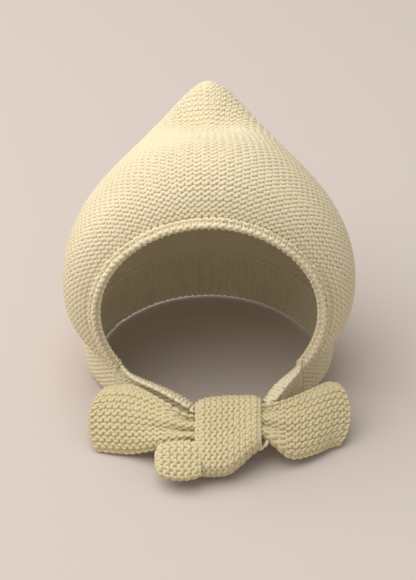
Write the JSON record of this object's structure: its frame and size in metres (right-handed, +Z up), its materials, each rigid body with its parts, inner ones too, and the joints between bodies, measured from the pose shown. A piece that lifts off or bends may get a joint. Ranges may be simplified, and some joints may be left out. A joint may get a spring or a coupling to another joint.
{
  "type": "knitted baby bonnet",
  "caption": "Hand-knitted baby bonnet with a pointed crown, an edged face opening and ties knotted once under the chin.",
  "frame": {"origin": "inside of the crown, where the top of the head meets the cloth", "axes": "+Z up, the face opening towards -Y, the point towards +Y, +X to the wearer's left"},
  "size_m": [0.1398, 0.1567, 0.1328],
  "materials": {
    "hood_knit": "cream wool, reverse stocking stitch",
    "edging_knit": "cream wool, picked-up ridge",
    "band_knit": "cream wool, knitted strip",
    "tie_knit": "cream wool, knitted strip, bunched"
  },
  "bodies": {
    "root": {"hood": "hood_knit", "face_edging": "edging_knit", "neck_band": "band_knit", "left_strap": "band_knit", "right_strap": "band_knit", "knot_wrap": "tie_knit", "knot_tuck": "tie_knit", "left_end": "tie_knit", "right_end": "tie_knit"}
  },
  "joints": []
}
